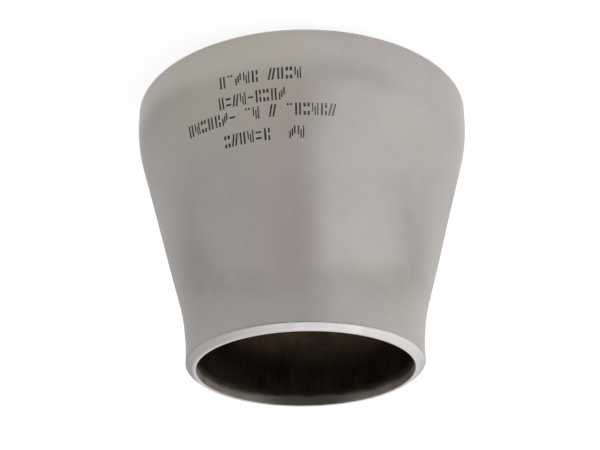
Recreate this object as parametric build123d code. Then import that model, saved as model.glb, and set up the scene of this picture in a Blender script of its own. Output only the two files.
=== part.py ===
"""Concentric butt-weld reducer, NPS 6 x NPS 4, pressed from one length of steel pipe.

The fitting stands on its large end. The origin is the centre of the large end's face, and
+Z runs along the axis to the small end. All sizes are in millimetres.
"""

import math
import os

from build123d import *

# Driving dimensions
large_od = 168.3  # outside diameter of NPS 6 pipe
small_od = 114.3  # outside diameter of NPS 4 pipe
length = 140.0  # end to end
end_wall = 5.0  # wall at both weld ends
small_formed_wall = 5.8  # pressing thickens the wall towards the small end
large_straight = 8.5  # straight length outside at the large end
small_straight = 6.5  # straight length outside at the small end
shoulder_radius = 82.0  # outside radius where the large end turns into the taper
flare_radius = 110.0  # outside radius where the taper turns into the small end
root_face = 1.6  # flat left on each end inside the weld bevel
bevel_angle = 37.5  # weld bevel, measured from the plane of the end
bore_depth = 5.5  # depth that the small end is bored back to end_wall
bore_lead_angle = 30.0  # lead from that bore to the pressed wall, measured from the axis
cutter_overrun = 2.0  # how far the boring cut runs out past the end

# Sizes that follow from them
large_radius = large_od / 2
small_radius = small_od / 2
bevel_width = end_wall - root_face
bevel_height = bevel_width * math.tan(math.radians(bevel_angle))
small_bore_radius = small_radius - end_wall
small_formed_radius = small_radius - small_formed_wall


def taper(large_r, small_r, convex_radius, hollow_radius):
    """The curve in the radius-height plane from the large straight end to the small one.

    It is a convex arc, a straight cone and a hollow arc, each tangent to the next.
    """
    low_centre = Vector(large_r - convex_radius, large_straight)
    high_centre = Vector(small_r + hollow_radius, length - small_straight)
    span = high_centre - low_centre
    between = math.degrees(math.acos((convex_radius + hollow_radius) / span.length))
    cone_angle = math.degrees(math.atan2(span.Y, span.X)) - between
    shoulder = CenterArc(low_centre, convex_radius, 0, cone_angle)
    flare = CenterArc(high_centre, hollow_radius, 180 + cone_angle, -cone_angle)
    return shoulder, Line(shoulder @ 1, flare @ 0), flare


def pressed_shell():
    """The wall as pressed and faced, with a weld bevel turned on each end."""
    large_root_r = large_radius - bevel_width
    small_root_r = small_radius - bevel_width
    with BuildPart() as shell:
        with BuildSketch(Plane.XZ):
            with BuildLine():
                outside = taper(large_radius, small_radius, shoulder_radius, flare_radius)
                inside = taper(
                    large_radius - end_wall,
                    small_formed_radius,
                    shoulder_radius - end_wall,
                    flare_radius + small_formed_wall,
                )
                Polyline(
                    (large_radius - end_wall, 0),
                    (large_root_r, 0),
                    (large_radius, bevel_height),
                    outside[0] @ 0,
                )
                Polyline(
                    outside[-1] @ 1,
                    (small_radius, length - bevel_height),
                    (small_root_r, length),
                    (small_formed_radius, length),
                    inside[-1] @ 1,
                )
                Line(inside[0] @ 0, (large_radius - end_wall, 0))
            make_face()
        revolve(axis=Axis.Z)
    return shell.part


def small_end_bore():
    """The cut that bores the small end, with a lead that runs out into the pressed wall."""
    lead = small_bore_radius / math.tan(math.radians(bore_lead_angle))
    with BuildPart() as cut:
        with BuildSketch(Plane.XZ):
            with BuildLine():
                Polyline(
                    (0, length - bore_depth - lead),
                    (small_bore_radius, length - bore_depth),
                    (small_bore_radius, length + cutter_overrun),
                    (0, length + cutter_overrun),
                    close=True,
                )
            make_face()
        revolve(axis=Axis.Z)
    return cut.part


def reducer_body():
    """The whole fitting, which is a single piece of steel."""
    return pressed_shell() - small_end_bore()


os.makedirs("parts", exist_ok=True)
export_step(reducer_body(), "parts/reducer_body.step")
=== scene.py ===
"""The look of a concentric pipe reducer: one pressed steel shell and the ink marking on it.

Everything is in metres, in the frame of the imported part: the reducer stands on its large end,
with the centre of that end's face at the origin and +Z along its axis to the small end.
"""

import logging
import math
from dataclasses import dataclass, field
from enum import Enum, IntEnum
from typing import NamedTuple

import bmesh
import bpy
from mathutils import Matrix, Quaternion, Vector, noise


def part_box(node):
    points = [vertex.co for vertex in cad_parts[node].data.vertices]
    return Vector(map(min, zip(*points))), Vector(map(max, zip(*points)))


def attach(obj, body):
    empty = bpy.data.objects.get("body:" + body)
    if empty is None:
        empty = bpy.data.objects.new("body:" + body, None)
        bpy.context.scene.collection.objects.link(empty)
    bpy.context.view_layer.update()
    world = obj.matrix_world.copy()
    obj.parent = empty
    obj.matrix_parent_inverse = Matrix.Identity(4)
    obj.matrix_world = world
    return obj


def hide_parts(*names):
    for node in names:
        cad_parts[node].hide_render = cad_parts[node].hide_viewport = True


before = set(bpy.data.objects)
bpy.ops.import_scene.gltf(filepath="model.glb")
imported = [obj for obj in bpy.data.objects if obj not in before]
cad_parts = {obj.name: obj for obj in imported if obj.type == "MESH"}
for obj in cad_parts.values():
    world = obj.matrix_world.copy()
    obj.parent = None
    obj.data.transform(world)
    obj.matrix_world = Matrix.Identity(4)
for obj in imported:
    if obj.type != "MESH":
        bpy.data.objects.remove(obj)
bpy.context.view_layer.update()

NODE = "reducer_body"
BODY = "root"
MM = 0.001
UP = Vector((0, 0, 1))
ORIGIN = Vector((0, 0, 0))

Colour = tuple[float, float, float]
Range = tuple[float, float]
Socket = bpy.types.NodeSocket
WHITE: Colour = (1.0, 1.0, 1.0)
NOISE_RANGE: Range = (0.30, 0.70)  # where nearly all of a noise pattern's values lie
log = logging.getLogger("reducer")


# Finishes


class Wiring:
    """Adds shader nodes to one node tree and joins them."""

    def __init__(self, tree: bpy.types.NodeTree) -> None:
        """Starts on a tree with no nodes.

        Args:
            tree: the tree, which is cleared.
        """
        self.tree = tree
        self.tree.nodes.clear()

    def add(self, kind: str, settings: dict | None = None, **inputs: object) -> bpy.types.Node:
        """Adds one node.

        Args:
            kind: the node's type, without its ShaderNode prefix.
            settings: properties of the node itself, by name.
            **inputs: sockets by name, with _ for a space; each is a value or an output to join.

        Returns:
            The new node.
        """
        node = self.tree.nodes.new("ShaderNode" + kind)
        for name, value in (settings or {}).items():
            setattr(node, name, value)
        for name, value in inputs.items():
            self.put(node.inputs[name.replace("_", " ")], value)
        return node

    def put(self, socket: Socket, value: object) -> None:
        """Gives a socket its value.

        Args:
            socket: the socket.
            value: an output, which is joined to it, or a constant, which is set on it.
        """
        if isinstance(value, Socket):
            self.tree.links.new(value, socket)
        else:
            socket.default_value = value

    def maths(self, operation: str, *values: object) -> Socket:
        """Adds a Math node.

        Args:
            operation: the node's operation, such as ADD.
            *values: its inputs in order, each a number or an output.

        Returns:
            Its output.
        """
        node = self.tree.nodes.new("ShaderNodeMath")
        node.operation = operation
        for socket, value in zip(node.inputs, values):
            self.put(socket, value)
        return node.outputs[0]

    def blend(self, share: object, first: object, second: object) -> Socket:
        """Mixes two numbers.

        Args:
            share: the share of the second one.
            first: a number or an output.
            second: a number or an output.

        Returns:
            The mixed number.
        """
        return self.maths("MULTIPLY_ADD", share, self.maths("SUBTRACT", second, first), first)

    def noise(self, vector: object, size: float, detail: float = 3.0, rough: float = 0.55) -> Socket:
        """Adds a noise pattern.

        Args:
            vector: the coordinates to read, in metres.
            size: how large one blotch is, in metres.
            detail: how many finer layers lie on it.
            rough: how strong each finer layer is.

        Returns:
            The pattern, from 0 to 1.
        """
        node = self.add("TexNoise", Vector=vector, Scale=1 / size, Detail=detail, Roughness=rough)
        return node.outputs[0]

    def spread(self, value: object, low: float, high: float, out_low: float, out_high: float) -> Socket:
        """Maps value from low..high to out_low..out_high, smoothly and clamped.

        Args:
            value: the output to map.
            low: where the ramp starts.
            high: where the ramp ends.
            out_low: the result at and before low.
            out_high: the result at and past high.

        Returns:
            The mapped output.
        """
        node = self.add("MapRange", {"interpolation_type": "SMOOTHSTEP"}, Value=value)
        ends = {"From Min": low, "From Max": high, "To Min": out_low, "To Max": out_high}
        for name, number in ends.items():
            node.inputs[name].default_value = number
        return node.outputs[0]

    def mix(self, factor: object, first: Colour | object, second: Colour | object) -> Socket:
        """Mixes two colours.

        Args:
            factor: the share of the second one.
            first: a colour or an output.
            second: a colour or an output.

        Returns:
            The mixed colour.
        """
        node = self.tree.nodes.new("ShaderNodeMix")
        node.data_type = "RGBA"
        colour_inputs = [s for s in node.inputs if s.type == "RGBA"]
        self.put(node.inputs[0], factor)
        for socket, colour in zip(colour_inputs, (first, second)):
            self.put(socket, (*colour, 1.0) if isinstance(colour, tuple) else colour)
        return next(s for s in node.outputs if s.type == "RGBA")


@dataclass
class Surface:
    """One material under way: its wiring, its main shader and the coordinates that its patterns read."""

    name: str
    wiring: Wiring = field(init=False)
    shader: bpy.types.Node = field(init=False)
    material: bpy.types.Material = field(init=False)
    place: Socket = field(init=False)
    x: Socket = field(init=False)
    y: Socket = field(init=False)
    z: Socket = field(init=False)
    radius: Socket = field(init=False)

    def __post_init__(self) -> None:
        """Makes the material with a bare shader."""
        self.material = bpy.data.materials.new(self.name)
        self.material.use_nodes = True
        self.wiring = Wiring(self.material.node_tree)
        self.shader = self.wiring.add("BsdfPrincipled")
        out = self.wiring.add("OutputMaterial")
        self.wiring.put(out.inputs["Surface"], self.shader.outputs[0])
        self.place = self.wiring.add("TexCoord").outputs["Object"]
        parts = self.wiring.add("SeparateXYZ", Vector=self.place)
        self.x, self.y, self.z = parts.outputs
        across = self.wiring.maths("MULTIPLY", self.x, self.x)
        self.radius = self.wiring.maths("SQRT", self.wiring.maths("MULTIPLY_ADD", self.y, self.y, across))

    def along(self, reach: float) -> Socket:
        """Coordinates in which a pattern is drawn out along the part's axis.

        Args:
            reach: how many times longer than wide a blotch becomes.

        Returns:
            The coordinates.
        """
        return self._drawn_out(self.place, reach)

    def slanted(self, reach: float, lean: float, turn: float) -> Socket:
        """Coordinates in which a pattern is drawn out along a line that leans off the part's axis.

        Args:
            reach: how many times longer than wide a blotch becomes.
            lean: how far the line leans, in degrees.
            turn: which way it leans, in degrees round the axis.

        Returns:
            The coordinates.
        """
        upright = self.wiring.add("VectorRotate", {"rotation_type": "EULER_XYZ"}, Vector=self.place)
        upright.inputs["Rotation"].default_value = (math.radians(lean), 0.0, math.radians(turn))
        return self._drawn_out(upright.outputs[0], reach)

    def around(self, reach: float) -> Socket:
        """Coordinates in which a pattern is drawn out into rings round the part's axis.

        Args:
            reach: how many times longer than wide a blotch becomes.

        Returns:
            The coordinates.
        """
        rings = self.wiring.add("CombineXYZ", X=self.radius, Z=self.z).outputs[0]
        drift = self.wiring.add("Mapping", Vector=self.place, Scale=(1.0 / reach,) * 3).outputs[0]
        sum_node = self.wiring.add("VectorMath", {"operation": "ADD"})
        self.wiring.put(sum_node.inputs[0], rings)
        self.wiring.put(sum_node.inputs[1], drift)
        return sum_node.outputs[0]

    def _drawn_out(self, vector: Socket, reach: float) -> Socket:
        """Draws coordinates out along their Z.

        Args:
            vector: the coordinates.
            reach: how many times longer than wide a blotch becomes.

        Returns:
            The drawn-out coordinates.
        """
        return self.wiring.add("Mapping", Vector=vector, Scale=(1.0, 1.0, 1.0 / reach)).outputs[0]

    def set(self, **values: object) -> None:
        """Sets or joins the shader's own sockets.

        Args:
            **values: sockets by name, with _ for a space; each is a value or an output to join.
        """
        for name, value in values.items():
            if isinstance(value, tuple) and len(value) == 3:
                value = (*value, 1.0)
            self.wiring.put(self.shader.inputs[name.replace("_", " ")], value)

    def bump(self, height: object, depth: float, under: object = None) -> Socket:
        """Adds a bump.

        Args:
            height: the pattern, from 0 to 1.
            depth: how deep the pattern is, in metres.
            under: the normal that it lies on, if any.

        Returns:
            The normal.
        """
        node = self.wiring.add("Bump", Height=height, Strength=1.0, Distance=depth)
        if under is not None:
            self.wiring.put(node.inputs["Normal"], under)
        return node.outputs[0]


@dataclass(frozen=True)
class PickledSkin:
    """The outside as pressed, blasted and pickled.

    It is satin grey steel with faint clouds, draw lines, straw stain patches and fine scratches, and
    painted shade at the +X foot.
    """

    light: Colour = (0.596, 0.559, 0.541)
    dark: Colour = (0.530, 0.495, 0.479)
    straw: Colour = (0.572, 0.538, 0.462)
    smooth: float = 0.305
    coarse: float = 0.345
    cloud: float = 38 * MM
    cloud_share: float = 0.65
    patch: float = 7 * MM
    patch_share: float = 0.35
    tone_range: Range = (0.40, 0.80)
    stain: float = 60 * MM
    stain_range: Range = (0.46, 0.68)
    stain_share: float = 0.45
    # Painted shade: low on the front of the +X side, the skin is mixed towards straw, darker, for the
    # dimmer light there.
    foot_stain_share: float = 0.95
    foot_stain_top: Range = (42 * MM, 62 * MM)
    foot_stain_from: Range = (-12 * MM, 4 * MM)
    foot_stain_to: Range = (54 * MM, 76 * MM)
    foot_stain_back: Range = (-30 * MM, 10 * MM)
    grain: float = 0.5 * MM
    grain_depth: float = 0.012 * MM
    line: float = 0.9 * MM
    line_share: float = 0.2
    line_reach: float = 60.0
    line_depth: float = 0.006 * MM
    scratch: float = 0.35 * MM
    scratch_range: Range = (0.70, 0.78)
    scratch_reach: float = 90.0
    scratch_leans: tuple[Range, ...] = ((24.0, 35.0), (-33.0, -20.0), (48.0, 80.0))
    scratch_area: float = 30 * MM
    scratch_area_range: Range = (0.48, 0.60)
    scratch_share: float = 0.25
    scratch_shine: float = 0.08
    scratch_depth: float = 0.006 * MM

    def material(self) -> bpy.types.Material:
        """Makes the material.

        Returns:
            The material.
        """
        surface = Surface("pickled_skin")
        wiring = surface.wiring
        clouds = wiring.noise(surface.place, self.cloud, detail=4.0)
        patches = wiring.noise(surface.place, self.patch, detail=4.0)
        lines = wiring.noise(surface.along(self.line_reach), self.line, detail=2.0)
        grain = wiring.noise(surface.place, self.grain, detail=2.0)
        scratches = self._scratches(surface)
        tone = wiring.maths("MULTIPLY", clouds, self.cloud_share)
        tone = wiring.maths("MULTIPLY_ADD", patches, self.patch_share, tone)
        tone = wiring.maths("MULTIPLY_ADD", lines, self.line_share, tone)
        tone = wiring.maths("MULTIPLY_ADD", scratches, self.scratch_share, tone)
        steel = wiring.mix(wiring.spread(tone, *self.tone_range, 0.0, 1.0), self.dark, self.light)
        stains = wiring.noise(surface.place, self.stain, detail=3.0)
        stains = wiring.spread(stains, *self.stain_range, 0.0, self.stain_share)
        # The straw mix carries both the straw stain patches and the painted shade at the +X foot.
        stains = wiring.maths("MAXIMUM", stains, self._foot_stain(surface))
        roughness = wiring.spread(patches, *NOISE_RANGE, self.smooth, self.coarse)
        relief = surface.bump(lines, self.line_depth, surface.bump(grain, self.grain_depth))
        surface.set(
            Base_Color=wiring.mix(stains, steel, self.straw),
            Metallic=1.0,
            Roughness=wiring.maths("MULTIPLY_ADD", scratches, -self.scratch_shine, roughness),
            Normal=surface.bump(wiring.maths("SUBTRACT", 1.0, scratches), self.scratch_depth, relief),
        )
        return surface.material

    def _foot_stain(self, surface: Surface) -> Socket:
        """Makes the painted shade at the large end, in front on the +X side: a darker, straw-tinted patch.

        Args:
            surface: the material under way.

        Returns:
            The painted shade's share.
        """
        wiring = surface.wiring
        low = wiring.spread(surface.z, *self.foot_stain_top, self.foot_stain_share, 0.0)
        start = wiring.spread(surface.x, *self.foot_stain_from, 0.0, 1.0)
        end = wiring.spread(surface.x, *self.foot_stain_to, 1.0, 0.0)
        front = wiring.spread(surface.y, *self.foot_stain_back, 1.0, 0.0)
        across = wiring.maths("MULTIPLY", start, end)
        return wiring.maths("MULTIPLY", wiring.maths("MULTIPLY", low, across), front)

    def _scratches(self, surface: Surface) -> Socket:
        """Makes a pattern of a few fine handling scratches, which cross at different leans.

        Args:
            surface: the material under way.

        Returns:
            The pattern, from 0 on bare skin to 1 in a scratch.
        """
        wiring = surface.wiring
        total = 0.0
        for lean, turn in self.scratch_leans:
            along = surface.slanted(self.scratch_reach, lean, turn)
            streaks = wiring.noise(along, self.scratch, detail=1.0)
            streaks = wiring.spread(streaks, *self.scratch_range, 0.0, 1.0)
            where = wiring.noise(along, self.scratch_area, detail=2.0)
            where = wiring.spread(where, *self.scratch_area_range, 0.0, 1.0)
            total = wiring.maths("MULTIPLY_ADD", streaks, where, total)
        return wiring.maths("MINIMUM", total, 1.0)


@dataclass(frozen=True)
class TurnedSteel:
    """The bevels and root faces: bright steel with the rings that a turning tool leaves."""

    light: Colour = (0.800, 0.772, 0.778)
    dark: Colour = (0.735, 0.708, 0.702)
    smooth: float = 0.36
    coarse: float = 0.46
    ring: float = 0.35 * MM
    ring_reach: float = 300.0
    ring_depth: float = 0.002 * MM
    patch: float = 6 * MM

    def material(self) -> bpy.types.Material:
        """Makes the material.

        Returns:
            The material.
        """
        surface = Surface("turned_steel")
        wiring = surface.wiring
        rings = wiring.noise(surface.around(self.ring_reach), self.ring, detail=2.0)
        patches = wiring.noise(surface.place, self.patch, detail=3.0)
        surface.set(
            Base_Color=wiring.mix(wiring.spread(rings, *NOISE_RANGE, 0.0, 1.0), self.dark, self.light),
            Metallic=1.0,
            Roughness=wiring.spread(patches, *NOISE_RANGE, self.smooth, self.coarse),
            Normal=surface.bump(rings, self.ring_depth),
        )
        return surface.material


@dataclass(frozen=True)
class FormedBore:
    """The inside as pressed: dull dark steel with the mandrel's draw lines, and further in a brighter brown
    that is partly oxide and partly painted light.
    """

    light: Colour = (0.042, 0.034, 0.026)
    dark: Colour = (0.016, 0.013, 0.010)
    # Oxide brown, made bright enough to stand in for the light deep inside as well.
    oxide: Colour = (0.300, 0.188, 0.104)
    oxide_from: float = 122 * MM
    oxide_full: float = 92 * MM
    oxide_range: Range = (0.30, 0.62)
    oxide_shares: Range = (0.25, 0.90)
    metal: float = 0.6
    shine: float = 0.15
    smooth: float = 0.50
    coarse: float = 0.68
    cloud: float = 22 * MM
    cloud_share: float = 0.65
    cloud_range: Range = (0.35, 0.65)
    line: float = 1.1 * MM
    line_share: float = 0.35
    line_reach: float = 40.0
    line_depth: float = 0.02 * MM

    def material(self) -> bpy.types.Material:
        """Makes the material.

        Returns:
            The material.
        """
        surface = Surface("formed_bore")
        wiring = surface.wiring
        clouds = wiring.noise(surface.place, self.cloud, detail=4.0)
        lines = wiring.noise(surface.along(self.line_reach), self.line, detail=2.0)
        tone = wiring.maths("MULTIPLY", clouds, self.cloud_share)
        tone = wiring.maths("MULTIPLY_ADD", lines, self.line_share, tone)
        steel = wiring.mix(wiring.spread(tone, *self.cloud_range, 0.0, 1.0), self.dark, self.light)
        # Partly painted light: deeper in, the colour turns a brighter brown, for oxide and for the light
        # that reaches deep inside.
        deep = wiring.spread(surface.z, self.oxide_full, self.oxide_from, 1.0, 0.0)
        clouded = wiring.spread(clouds, *self.oxide_range, *self.oxide_shares)
        patchy = wiring.maths("MULTIPLY", deep, clouded)
        surface.set(
            Base_Color=wiring.mix(patchy, steel, self.oxide),
            Metallic=self.metal,
            Specular_IOR_Level=self.shine,
            Roughness=wiring.spread(clouds, *self.cloud_range, self.smooth, self.coarse),
            Normal=surface.bump(lines, self.line_depth),
        )
        return surface.material


@dataclass(frozen=True)
class BoredBand:
    """The bands bored inside both ends: skimmed steel, with painted shade that darkens them further in from
    each lip.

    More painted shade darkens them on the +Y side.
    """

    length: float
    light: Colour = (0.720, 0.680, 0.605)
    dark: Colour = (0.590, 0.548, 0.475)
    # The colour of the painted shade, and how far in from each lip it starts and is full.
    grime: Colour = (0.036, 0.029, 0.022)
    clean_to: float = 2.4 * MM
    dark_from: float = 7.0 * MM
    creep: float = 9 * MM
    creep_depth: float = 1.8 * MM
    # Painted shade on the +Y side: where it starts, where it is full, and how strong it is.
    stain_from: float = 44.0 * MM
    stain_full: float = 52.0 * MM
    stain_share: float = 0.62
    smooth: float = 0.50
    coarse: float = 0.66
    ring: float = 0.45 * MM
    ring_reach: float = 300.0
    ring_depth: float = 0.003 * MM
    patch: float = 6 * MM

    def material(self) -> bpy.types.Material:
        """Makes the material.

        Returns:
            The material.
        """
        surface = Surface("bored_band")
        wiring = surface.wiring
        rings = wiring.noise(surface.around(self.ring_reach), self.ring, detail=2.0)
        patches = wiring.noise(surface.place, self.patch, detail=3.0)
        steel = wiring.mix(wiring.spread(rings, *NOISE_RANGE, 0.0, 1.0), self.dark, self.light)
        # Painted shade: the dark creeps in from each lip with a ragged edge, and lies over the +Y side.
        to_lip = wiring.maths("MINIMUM", surface.z, wiring.maths("SUBTRACT", self.length, surface.z))
        creep = wiring.noise(surface.place, self.creep, detail=3.0)
        to_lip = wiring.maths("MULTIPLY_ADD", creep, self.creep_depth, to_lip)
        grime = wiring.spread(to_lip, self.clean_to + self.creep_depth / 2, self.dark_from, 0.0, 1.0)
        stain = wiring.spread(surface.y, self.stain_from, self.stain_full, 0.0, self.stain_share)
        grime = wiring.maths("MAXIMUM", grime, stain)
        surface.set(
            Base_Color=wiring.mix(grime, steel, self.grime),
            Metallic=1.0,
            Roughness=wiring.spread(patches, *NOISE_RANGE, self.smooth, self.coarse),
            Normal=surface.bump(rings, self.ring_depth),
        )
        return surface.material


@dataclass(frozen=True)
class MarkingInk:
    """The printed marking: near-black ink, worn away towards the start of each row."""

    fresh: Colour = (0.022, 0.018, 0.013)
    worn: Colour = (0.300, 0.282, 0.262)
    roughness: float = 0.62
    blotch: float = 1.6 * MM
    blotch_range: Range = (0.42, 0.75)
    blotch_wear: float = 0.40
    start_wear: float = 0.80
    worn_from: float = -20 * MM
    fresh_from: float = 5 * MM

    def material(self) -> bpy.types.Material:
        """Makes the material.

        Returns:
            The material.
        """
        surface = Surface("marking_ink")
        wiring = surface.wiring
        blotches = wiring.noise(surface.place, self.blotch, detail=3.0)
        blotches = wiring.spread(blotches, *self.blotch_range, 0.0, self.blotch_wear)
        start = wiring.spread(surface.x, self.worn_from, self.fresh_from, self.start_wear, 0.0)
        wear = wiring.maths("ADD", start, blotches)
        surface.set(
            Base_Color=wiring.mix(wear, self.fresh, self.worn),
            Metallic=0.0,
            Roughness=self.roughness,
        )
        return surface.material


# The pressed shell


class Zone(IntEnum):
    """What a stretch of the shell's surface is finished as. The values are its material slots."""

    SKIN = 0
    TURNED = 1
    BORED = 2
    INSIDE = 3


@dataclass
class Taper:
    """The curve from the large straight end to the small one: a convex arc, a cone and a hollow arc.

    Points are (radius, height) pairs.
    """

    large_radius: float
    small_radius: float
    convex_radius: float
    hollow_radius: float
    low: float
    high: float

    def __post_init__(self) -> None:
        """Works out the two arcs' centres and how far the cone leans."""
        self.low_centre = Vector((self.large_radius - self.convex_radius, self.low))
        self.high_centre = Vector((self.small_radius + self.hollow_radius, self.high))
        span = self.high_centre - self.low_centre
        between = math.acos((self.convex_radius + self.hollow_radius) / span.length)
        self.lean = math.atan2(span.y, span.x) - between

    def radius_at(self, height: float) -> float:
        """The curve's radius at a height, with the straight ends carried on past it.

        Args:
            height: the height.

        Returns:
            The radius.
        """
        shoulder_end = self.low + self.convex_radius * math.sin(self.lean)
        flare_start = self.high - self.hollow_radius * math.sin(self.lean)
        if height <= self.low:
            return self.large_radius
        if height <= shoulder_end:
            return self.low_centre.x + math.sqrt(self.convex_radius**2 - (height - self.low) ** 2)
        if height < flare_start:
            start = self.low_centre.x + self.convex_radius * math.cos(self.lean)
            return start - (height - shoulder_end) * math.tan(self.lean)
        if height < self.high:
            return self.high_centre.x - math.sqrt(self.hollow_radius**2 - (self.high - height) ** 2)
        return self.small_radius


@dataclass
class Profile:
    """Draws the shell's section in the XZ plane, one stretch after another, and spins each one."""

    mesh: bmesh.types.BMesh
    turns: int

    def line(self, zone: Zone, start: Vector, end: Vector, pieces: int) -> Vector:
        """Sweeps a straight stretch.

        Args:
            zone: its finish.
            start: its first (radius, height).
            end: its last (radius, height).
            pieces: how many rings of faces it has.

        Returns:
            The end, for the next stretch.
        """
        part = bmesh.new()
        vert = part.verts.new((start.x, 0, start.y))
        for step in range(1, pieces + 1):
            vert = bmesh.ops.extrude_vert_indiv(part, verts=[vert])["verts"][0]
            spot = start.lerp(end, step / pieces)
            vert.co = (spot.x, 0, spot.y)
        self._turn(zone, part)
        return end

    def arc(self, zone: Zone, start: Vector, centre: Vector, angle: float, pieces: int) -> Vector:
        """Sweeps a round stretch.

        Args:
            zone: its finish.
            start: its first (radius, height).
            centre: the middle of the arc, as (radius, height).
            angle: how far it turns, in radians, from +X towards +Z.
            pieces: how many rings of faces it has.

        Returns:
            The end, for the next stretch.
        """
        part = bmesh.new()
        first = part.verts.new((start.x, 0, start.y))
        made = bmesh.ops.spin(
            part, geom=[first], cent=(centre.x, 0, centre.y), axis=(0, -1, 0), angle=angle, steps=pieces
        )
        last = next(g for g in made["geom_last"] if isinstance(g, bmesh.types.BMVert))
        end = Vector((last.co.x, last.co.z))
        self._turn(zone, part)
        return end

    def _turn(self, zone: Zone, part: bmesh.types.BMesh) -> None:
        """Spins a stretch round the part's axis and adds it to the shell.

        Args:
            zone: the stretch's finish.
            part: its mesh, which is freed.
        """
        bmesh.ops.spin(
            part, geom=[*part.verts, *part.edges], cent=ORIGIN, axis=UP, angle=math.tau,
            steps=self.turns, use_merge=True,
        )
        for face in part.faces:
            face.material_index = zone
        carrier = bpy.data.meshes.new("stretch")
        part.to_mesh(carrier)
        part.free()
        self.mesh.from_mesh(carrier)
        bpy.data.meshes.remove(carrier)


@dataclass
class PressedShell:
    """The reducer itself: one closed shell with a bevelled, faced and bored end at top and bottom."""

    large_radius: float
    length: float
    small_radius: float = 57.15 * MM
    end_wall: float = 5.0 * MM
    small_formed_wall: float = 5.8 * MM
    large_straight: float = 8.5 * MM
    small_straight: float = 6.5 * MM
    shoulder_radius: float = 82.0 * MM
    flare_radius: float = 110.0 * MM
    root_face: float = 1.6 * MM
    bevel_angle: float = 37.5
    bore_depth: float = 5.5 * MM
    bore_lead_angle: float = 30.0
    edge_break: float = 0.35 * MM
    edge_rings: int = 3
    sharp_corner: float = 20.0
    turns: int = 240
    ring_height: float = 2.5 * MM
    root_rings: int = 2
    bevel_rings: int = 3
    large_straight_rings: int = 3
    small_straight_rings: int = 2
    bore_rings: int = 4
    lead_rings: int = 2
    lead_passes: int = 8
    weld_gap: float = 0.01 * MM
    dent_depth: float = 0.16 * MM
    dent_size: float = 34.0 * MM
    out_of_round: float = 0.12 * MM
    oval_turn: float = 0.7
    true_length: float = 12.0 * MM

    def __post_init__(self) -> None:
        """Works out the sizes that follow from the others."""
        self.bevel_width = self.end_wall - self.root_face
        self.bevel_height = self.bevel_width * math.tan(math.radians(self.bevel_angle))
        self.large_bore = self.large_radius - self.end_wall
        self.small_bore = self.small_radius - self.end_wall
        self.formed_bore = self.small_radius - self.small_formed_wall
        high = self.length - self.small_straight
        self.outside = Taper(
            self.large_radius, self.small_radius, self.shoulder_radius, self.flare_radius,
            self.large_straight, high,
        )
        self.inside = Taper(
            self.large_bore, self.formed_bore, self.shoulder_radius - self.end_wall,
            self.flare_radius + self.small_formed_wall, self.large_straight, high,
        )

    def unevenness(self, spot: Vector) -> float:
        """How far pressing left the wall out of true at a spot, in metres along its radius.

        Args:
            spot: a point on the wall.

        Returns:
            The distance, positive outwards. It fades out at both machined ends.
        """
        near_end = min(spot.z, self.length - spot.z)
        share = min(max((near_end - self.large_straight) / self.true_length, 0.0), 1.0)
        angle = math.atan2(spot.y, spot.x)
        oval = self.out_of_round * math.cos(2 * angle + self.oval_turn)
        dents = self.dent_depth * noise.noise(spot / self.dent_size)
        fade = share * share * (3 - 2 * share)
        return fade * (oval + dents)

    def on_skin(self, angle: float, height: float, lift: float) -> Vector:
        """A point on the outside.

        Args:
            angle: its place round the axis, in radians from -Y towards +X.
            height: its height above the large end.
            lift: how far it stands off the skin.

        Returns:
            The point.
        """
        radius = self.outside.radius_at(height)
        out = Vector((math.sin(angle), -math.cos(angle), 0))
        spot = out * radius + UP * height
        return spot + out * (self.unevenness(spot) + lift)

    def build(self) -> bpy.types.Object:
        """Makes the shell's mesh and dresses it.

        Returns:
            The finished object.
        """
        mesh = bmesh.new()
        self._sweep(Profile(mesh, self.turns))
        bmesh.ops.remove_doubles(mesh, verts=mesh.verts, dist=self.weld_gap)
        bmesh.ops.recalc_face_normals(mesh, faces=mesh.faces)
        self._break_edges(mesh)
        for vert in mesh.verts:
            out = Vector((vert.co.x, vert.co.y, 0)).normalized()
            vert.co += out * self.unevenness(vert.co)
        shell = new_piece("reducer_shell", mesh)
        for finish in (PickledSkin(), TurnedSteel(), BoredBand(self.length), FormedBore()):
            shell.data.materials.append(finish.material())
        normals = shell.modifiers.new("even_normals", "WEIGHTED_NORMAL")
        normals.keep_sharp = True
        return shell

    def _sweep(self, profile: Profile) -> None:
        """Goes once round the section: up the outside from the large end and down the inside.

        Args:
            profile: what sweeps it.
        """
        top = self.length
        large_root = self.large_radius - self.bevel_width
        small_root = self.small_radius - self.bevel_width
        at = Vector((self.large_bore, 0))
        at = profile.line(Zone.TURNED, at, Vector((large_root, 0)), self.root_rings)
        at = profile.line(Zone.TURNED, at, Vector((self.large_radius, self.bevel_height)), self.bevel_rings)
        low = Vector((self.large_radius, self.large_straight))
        at = profile.line(Zone.SKIN, at, low, self.large_straight_rings)
        at = self._taper(profile, Zone.SKIN, self.outside, at, self.outside.high)
        high = Vector((self.small_radius, top - self.bevel_height))
        at = profile.line(Zone.SKIN, at, high, self.small_straight_rings)
        at = profile.line(Zone.TURNED, at, Vector((small_root, top)), self.bevel_rings)
        at = profile.line(Zone.TURNED, at, Vector((self.small_bore, top)), self.root_rings)
        at = profile.line(Zone.BORED, at, Vector((self.small_bore, top - self.bore_depth)), self.bore_rings)
        foot = self._lead_foot(at)
        profile.line(Zone.BORED, at, foot, self.lead_rings)
        low = Vector((self.large_bore, self.large_straight))
        profile.line(Zone.BORED, Vector((self.large_bore, 0)), low, self.bore_rings)
        self._taper(profile, Zone.INSIDE, self.inside, low, foot.y)

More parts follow.
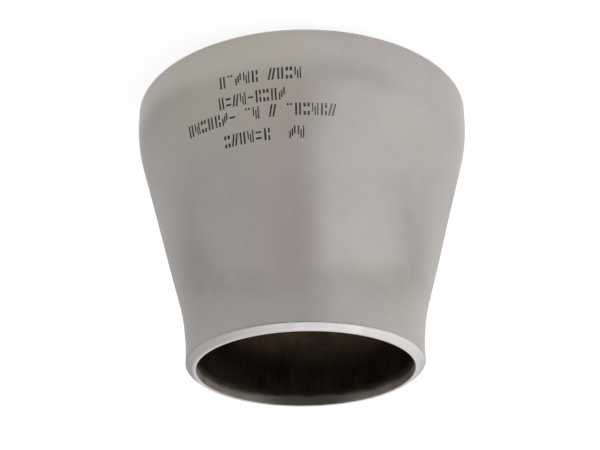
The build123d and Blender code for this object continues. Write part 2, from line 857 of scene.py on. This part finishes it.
    def _taper(self, profile: Profile, zone: Zone, taper: Taper, at: Vector, stop: float) -> Vector:
        """Sweeps a taper from its large end up.

        Args:
            profile: what sweeps it.
            zone: its finish.
            taper: the curve.
            at: where it starts.
            stop: the height in the hollow arc where it ends.

        Returns:
            Where it ends.
        """
        rings = self._rings(taper.convex_radius * taper.lean)
        at = profile.arc(zone, at, taper.low_centre, taper.lean, rings)
        away = Vector((math.cos(taper.lean), math.sin(taper.lean)))
        cone_top = taper.high_centre - away * taper.hollow_radius
        at = profile.line(zone, at, cone_top, self._rings((cone_top - at).length))
        turn = taper.lean - math.asin((taper.high - stop) / taper.hollow_radius)
        return profile.arc(zone, at, taper.high_centre, -turn, self._rings(taper.hollow_radius * turn))

    def _lead_foot(self, top: Vector) -> Vector:
        """Finds where the lead under the small end's bored band runs out into the pressed wall.

        Args:
            top: where the lead starts, as (radius, height).

        Returns:
            Where it ends, as (radius, height).
        """
        lead = math.tan(math.radians(self.bore_lead_angle))
        height = top.y
        for _ in range(self.lead_passes):
            height = top.y - (top.x - self.inside.radius_at(height)) / lead
        return Vector((self.inside.radius_at(height), height))

    def _rings(self, length: float) -> int:
        """How many rings of faces a stretch of this length gets."""
        return max(1, round(length / self.ring_height))

    def _break_edges(self, mesh: bmesh.types.BMesh) -> None:
        """Rounds every sharp corner of the section a little, as a file would.

        Args:
            mesh: the shell's mesh.
        """
        limit = math.radians(self.sharp_corner)
        edges = [e for e in mesh.edges if len(e.link_faces) == 2 and e.calc_face_angle() > limit]
        bmesh.ops.bevel(
            mesh, geom=edges, offset=self.edge_break, offset_type="OFFSET", segments=self.edge_rings,
            profile=0.5, affect="EDGES", clamp_overlap=True, material=-1,
        )


# The marking


class Stroke(NamedTuple):
    """One bar of ink: its sides as shares of a cell, and how far its top leans over."""

    left: float
    bottom: float
    right: float
    top: float
    lean: float = 0.0


class Cell(Enum):
    """The strokes in one place of a marking row. None of them is a letter or a number."""

    GAP = ()
    POSTS = (Stroke(0.04, 0.0, 0.34, 1.0), Stroke(0.66, 0.0, 0.96, 1.0))
    STEPS = (Stroke(0.0, 0.0, 0.24, 0.60), Stroke(0.38, 0.20, 0.62, 0.80), Stroke(0.76, 0.40, 1.0, 1.0))
    TALLY = (Stroke(0.0, 0.0, 0.21, 1.0), Stroke(0.40, 0.28, 0.60, 1.0), Stroke(0.79, 0.0, 1.0, 0.72))
    HATCH = (Stroke(-0.14, 0.0, 0.15, 1.0, 0.42), Stroke(0.43, 0.0, 0.72, 1.0, 0.42))
    SPLIT = (Stroke(0.0, 0.0, 0.30, 0.40), Stroke(0.0, 0.60, 0.30, 1.0), Stroke(0.62, 0.0, 0.94, 1.0))
    PAIR = (Stroke(0.04, 0.18, 0.96, 0.34), Stroke(0.04, 0.66, 0.96, 0.82))
    DASH = (Stroke(0.0, 0.43, 1.0, 0.57),)
    DOTS = (Stroke(0.1, 0.0, 0.38, 0.18), Stroke(0.62, 0.0, 0.9, 0.18))
    QUAD = (Stroke(0.0, 0.0, 0.38, 0.32), Stroke(0.62, 0.0, 1.0, 0.32),
            Stroke(0.0, 0.68, 0.38, 1.0), Stroke(0.62, 0.68, 1.0, 1.0))


@dataclass
class MarkingRow:
    """One row of the marking, set round the shell like a line of print that says nothing."""

    name: str
    height: float
    start: float
    end: float
    cells: tuple[Cell, ...]


@dataclass
class Marking:
    """The printed block on the shell: short ink strokes in rows that stand for the maker's text."""

    shell: PressedShell
    cell_height: float = 5.6 * MM
    cell_share: float = 0.74
    film: float = 0.03 * MM
    sunk: float = 0.03 * MM
    mesh_size: float = 0.9 * MM

    def rows(self) -> list[MarkingRow]:
        """Sets out the rows.

        Returns:
            The four rows, from the lowest up, with their ends in degrees from -Y towards +X.
        """
        c = Cell
        return [
            MarkingRow("marking_row_1", 24.7 * MM, 0.0, 28.0,
                       (c.TALLY, c.QUAD, c.POSTS, c.HATCH, c.GAP, c.SPLIT, c.TALLY, c.STEPS,
                        c.DOTS, c.POSTS)),
            MarkingRow("marking_row_2", 34.2 * MM, 5.4, 29.2,
                       (c.STEPS, c.POSTS, c.QUAD, c.SPLIT, c.DASH, c.TALLY, c.HATCH, c.PAIR, c.POSTS)),
            MarkingRow("marking_row_3", 41.6 * MM, -11.4, 43.2,
                       (c.HATCH, c.SPLIT, c.TALLY, c.QUAD, c.POSTS, c.DOTS, c.GAP, c.HATCH, c.GAP, c.TALLY,
                        c.DOTS, c.GAP, c.DASH, c.STEPS, c.SPLIT, c.POSTS, c.QUAD, c.TALLY, c.POSTS)),
            MarkingRow("marking_row_4", 52.0 * MM, -0.8, 29.0,
                       (c.TALLY, c.STEPS, c.GAP, c.GAP, c.SPLIT, c.PAIR, c.TALLY, c.POSTS,
                        c.HATCH, c.QUAD)),
        ]

    def build(self) -> list[bpy.types.Object]:
        """Makes one piece for each row.

        Returns:
            The finished pieces.
        """
        ink = MarkingInk().material()
        return [self._row(row, ink) for row in self.rows()]

    def _row(self, row: MarkingRow, ink: bpy.types.Material) -> bpy.types.Object:
        """Makes one row's strokes.

        Args:
            row: the row.
            ink: its material.

        Returns:
            The finished piece.
        """
        mesh = bmesh.new()
        pitch = math.radians(row.end - row.start) / len(row.cells)
        for place, cell in enumerate(row.cells):
            left = math.radians(row.start) + place * pitch
            for stroke in cell.value:
                self._stroke(mesh, row, left, pitch * self.cell_share, stroke)
        bmesh.ops.recalc_face_normals(mesh, faces=mesh.faces)
        piece = new_piece(row.name, mesh)
        piece.data.materials.append(ink)
        return piece

    def _stroke(
        self, mesh: bmesh.types.BMesh, row: MarkingRow, left: float, width: float, stroke: Stroke
    ) -> None:
        """Lays one stroke on the shell as a thin closed film.

        Args:
            mesh: the row's mesh.
            row: the row.
            left: the angle of the cell's left side, in radians.
            width: the cell's width, in radians.
            stroke: the stroke.
        """
        across, upright = stroke.right - stroke.left, stroke.top - stroke.bottom
        radius = self.shell.outside.radius_at(row.height)
        columns = max(1, math.ceil(across * width * radius / self.mesh_size))
        lines = max(1, math.ceil(upright * self.cell_height / self.mesh_size))
        made = bmesh.ops.create_grid(mesh, x_segments=columns, y_segments=lines, size=0.5)
        faces = list({f for v in made["verts"] for f in v.link_faces})
        thick = bmesh.ops.extrude_face_region(mesh, geom=faces, use_keep_orig=True)
        raised = {g for g in thick["geom"] if isinstance(g, bmesh.types.BMVert)}
        base = row.height - self.cell_height / 2
        for vert in [*made["verts"], *raised]:
            v = stroke.bottom + upright * (vert.co.y + 0.5)
            u = stroke.left + across * (vert.co.x + 0.5) + stroke.lean * v
            lift = self.film if vert in raised else -self.sunk
            vert.co = self.shell.on_skin(left + u * width, base + v * self.cell_height, lift)


# The studio


@dataclass(frozen=True)
class Eye:
    """The camera: it looks down on the small end, and is turned over so that the large end is on top."""

    back: float = 589.8 * MM
    height: float = 350.5 * MM
    tilt: float = 26.035
    pan: float = 0.166
    roll: float = 179.158
    lens: float = 78.43
    near: float = 0.01
    far: float = 30.0

    def build(self) -> None:
        """Makes the camera and makes it the scene's own."""
        tilt, pan = math.radians(self.tilt), math.radians(self.pan)
        level = math.cos(tilt)
        ahead = Vector((math.sin(pan) * level, math.cos(pan) * level, -math.sin(tilt)))
        data = bpy.data.cameras.new("eye")
        data.lens = self.lens
        data.clip_start, data.clip_end = self.near, self.far
        camera = bpy.data.objects.new("eye", data)
        camera.rotation_mode = "QUATERNION"
        camera.location = (0, -self.back, self.height)
        turned = Quaternion((0, 0, 1), math.radians(self.roll))
        camera.rotation_quaternion = ahead.to_track_quat("-Z", "Y") @ turned
        bpy.context.scene.collection.objects.link(camera)
        bpy.context.scene.camera = camera


@dataclass(frozen=True)
class Softbox:
    """One rectangular light, aimed at the part. Its azimuth goes from -Y towards +X, in degrees."""

    name: str
    azimuth: float
    elevation: float
    distance: float
    width: float
    tall: float
    glow: float
    colour: Colour = WHITE

    def build(self, target: Vector) -> None:
        """Makes the light.

        Args:
            target: the point that it faces.
        """
        turn, rise = math.radians(self.azimuth), math.radians(self.elevation)
        level = math.cos(rise)
        away = Vector((math.sin(turn) * level, -math.cos(turn) * level, math.sin(rise)))
        data = bpy.data.lights.new(self.name, "AREA")
        data.shape = "RECTANGLE"
        data.size, data.size_y = self.width, self.tall
        data.energy = self.glow * self.width * self.tall * math.pi
        data.color = self.colour
        light = bpy.data.objects.new(self.name, data)
        light.rotation_mode = "QUATERNION"
        light.location = target + away * self.distance
        light.rotation_quaternion = (-away).to_track_quat("-Z", "Y")
        light.visible_camera = False
        bpy.context.scene.collection.objects.link(light)


@dataclass(frozen=True)
class Surround:
    """The light from all round the part, set by direction.

    Low down it has two halves, fill and key, which meet in front of the part and behind it, and both
    are dimmer behind. Higher up it is dim in front and brighter behind. A faint blush lies on the fill
    side, next to the key. Azimuths go from -Y towards +X, in degrees.
    """

    fill: float = 0.79
    fill_edge: float = 0.71
    key: float = 1.29
    fill_back: float = 0.25
    key_back: float = 0.62
    back_from: float = -0.3
    back_full: float = 0.9
    high_front: float = 0.10
    high_back: float = 0.48
    high_back_key: float = 0.95
    split: float = -12.0
    split_blur: float = 0.05
    edge_reach: Range = (-0.7, -0.2)
    back_blur: float = 0.6
    low_top: float = 5.0
    high_foot: float = 24.0
    front_from: float = -0.15
    front_full: float = 0.45
    blush: Colour = (1.0, 0.915, 0.928)
    blush_from: Range = (-0.80, -0.55)
    blush_to: Range = (-0.25, -0.05)

    def build(self) -> None:
        """Makes the scene's world."""
        world = bpy.data.worlds.new("surround")
        world.use_nodes = True
        wiring = Wiring(world.node_tree)
        way = wiring.add("TexCoord").outputs["Generated"]
        east, north, up = wiring.add("SeparateXYZ", Vector=way).outputs
        split = math.radians(self.split)
        eastern = wiring.maths("MULTIPLY", east, -math.cos(split))
        across = wiring.maths("MULTIPLY_ADD", north, -math.sin(split), eastern)
        behind = wiring.spread(north, self.back_from, self.back_full, 0.0, 1.0)
        low = wiring.blend(behind, self._low_front(wiring, across), self._low_back(wiring, across))
        high_back = wiring.spread(
            across, -self.back_blur, self.back_blur, self.high_back, self.high_back_key
        )
        south = wiring.maths("MULTIPLY", north, -1.0)
        ahead = wiring.spread(south, self.front_from, self.front_full, 0.0, 1.0)
        high = wiring.blend(ahead, high_back, self.high_front)
        foot, top = (math.sin(math.radians(a)) for a in (self.low_top, self.high_foot))
        level = wiring.blend(wiring.spread(up, foot, top, 0.0, 1.0), low, high)
        blush_start = wiring.spread(across, *self.blush_from, 0.0, 1.0)
        blush_end = wiring.spread(across, *self.blush_to, 1.0, 0.0)
        blush = wiring.maths("MULTIPLY", blush_start, blush_end)
        blush = wiring.maths("MULTIPLY", blush, wiring.maths("SUBTRACT", 1.0, behind))
        glow = wiring.add("Background", Color=wiring.mix(blush, WHITE, self.blush), Strength=level)
        out = wiring.add("OutputWorld")
        wiring.put(out.inputs["Surface"], glow.outputs[0])
        bpy.context.scene.world = world

    def _low_front(self, wiring: Wiring, across: Socket) -> Socket:
        """Sets the two halves low down in front.

        Args:
            wiring: the world's nodes.
            across: how far a direction lies past the line between the halves.

        Returns:
            The brightness.
        """
        fill = wiring.spread(across, *self.edge_reach, self.fill, self.fill_edge)
        past = wiring.spread(across, -self.split_blur, self.split_blur, 0.0, 1.0)
        return wiring.blend(past, fill, self.key)

    def _low_back(self, wiring: Wiring, across: Socket) -> Socket:
        """Sets the two halves low down behind.

        Args:
            wiring: the world's nodes.
            across: how far a direction lies past the line between the halves.

        Returns:
            The brightness.
        """
        return wiring.spread(across, -self.back_blur, self.back_blur, self.fill_back, self.key_back)


@dataclass(frozen=True)
class LightTable:
    """The pale floor. The camera sees it near white all over.

    The light that it throws on the part is brighter on the -X side. Close to the part's foot the two
    sides are nearly alike, but for a dim strip on the +X side.
    """

    size: float = 12.0
    squares: int = 8
    colour: Colour = (0.62, 0.62, 0.62)
    roughness: float = 0.9
    shine: float = 0.1
    seen_glow: float = 0.72
    fill_glow: float = 0.20
    key_glow: float = 0.43
    key_reach: Range = (-0.210, -0.090)
    foot_fill: float = 0.40
    foot_key: float = 0.45
    foot_key_reach: Range = (-0.050, 0.050)
    foot_side: float = 0.14
    foot_side_reach: Range = (0.085, 0.125)
    foot_reach: Range = (0.120, 0.180)
    fade_reach: Range = (0.42, 1.05)

    def build(self) -> None:
        """Makes the floor under the part."""
        mesh = bmesh.new()
        bmesh.ops.create_grid(mesh, x_segments=self.squares, y_segments=self.squares, size=self.size / 2)
        floor = new_piece("studio_floor", mesh)
        surface = Surface("studio_floor")
        wiring = surface.wiring
        glow = wiring.spread(surface.x, *self.key_reach, self.key_glow, self.fill_glow)
        foot = wiring.spread(surface.x, *self.foot_key_reach, self.foot_key, self.foot_fill)
        beside = wiring.spread(surface.x, *self.foot_side_reach, 0.0, 1.0)
        foot = wiring.blend(beside, foot, self.foot_side)
        glow = wiring.blend(wiring.spread(surface.radius, *self.foot_reach, 0.0, 1.0), foot, glow)
        fade = wiring.spread(surface.radius, *self.fade_reach, 1.0, 0.0)
        glow = wiring.maths("MULTIPLY", glow, fade)
        seen = wiring.add("LightPath").outputs["Is Camera Ray"]
        surface.set(
            Base_Color=self.colour,
            Roughness=self.roughness,
            Specular_IOR_Level=self.shine,
            Emission_Color=WHITE,
            Emission_Strength=wiring.blend(seen, glow, self.seen_glow),
        )
        floor.data.materials.append(surface.material)


@dataclass(frozen=True)
class Studio:
    """The floor, the light from all round and the softbox overhead."""

    surround: Surround = Surround()
    table: LightTable = LightTable()
    overhead: Softbox = Softbox(
        "overhead", azimuth=0.0, elevation=84.0, distance=1.6, width=2.1, tall=1.1, glow=0.58
    )

    def build(self, target: Vector) -> None:
        """Makes the floor, the surround and the softbox.

        Args:
            target: the point that the softbox faces.
        """
        self.table.build()
        self.surround.build()
        self.overhead.build(target)
        view = bpy.context.scene.view_settings
        view.view_transform = "Standard"
        view.look = "None"


def new_piece(name: str, mesh: bmesh.types.BMesh) -> bpy.types.Object:
    """Turns a finished mesh into an object in the scene, with smooth faces.

    Args:
        name: the object's name.
        mesh: the mesh, which is freed.

    Returns:
        The object.
    """
    for face in mesh.faces:
        face.smooth = True
    data = bpy.data.meshes.new(name)
    mesh.to_mesh(data)
    mesh.free()
    piece = bpy.data.objects.new(name, data)
    bpy.context.scene.collection.objects.link(piece)
    return piece


def main() -> None:
    """Builds the camera, the studio, the shell and the marking."""
    logging.basicConfig(level=logging.INFO, format="%(name)s: %(message)s")
    low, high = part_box(NODE)
    Eye().build()
    Studio().build((low + high) / 2)
    shell = PressedShell(large_radius=high.x, length=high.z)
    body = shell.build()
    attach(body, BODY)
    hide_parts(NODE)
    log.info("%s has %d faces", body.name, len(body.data.polygons))
    for row in Marking(shell).build():
        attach(row, BODY)
        log.info("%s has %d faces", row.name, len(row.data.polygons))


if __name__ == "__main__":
    main()
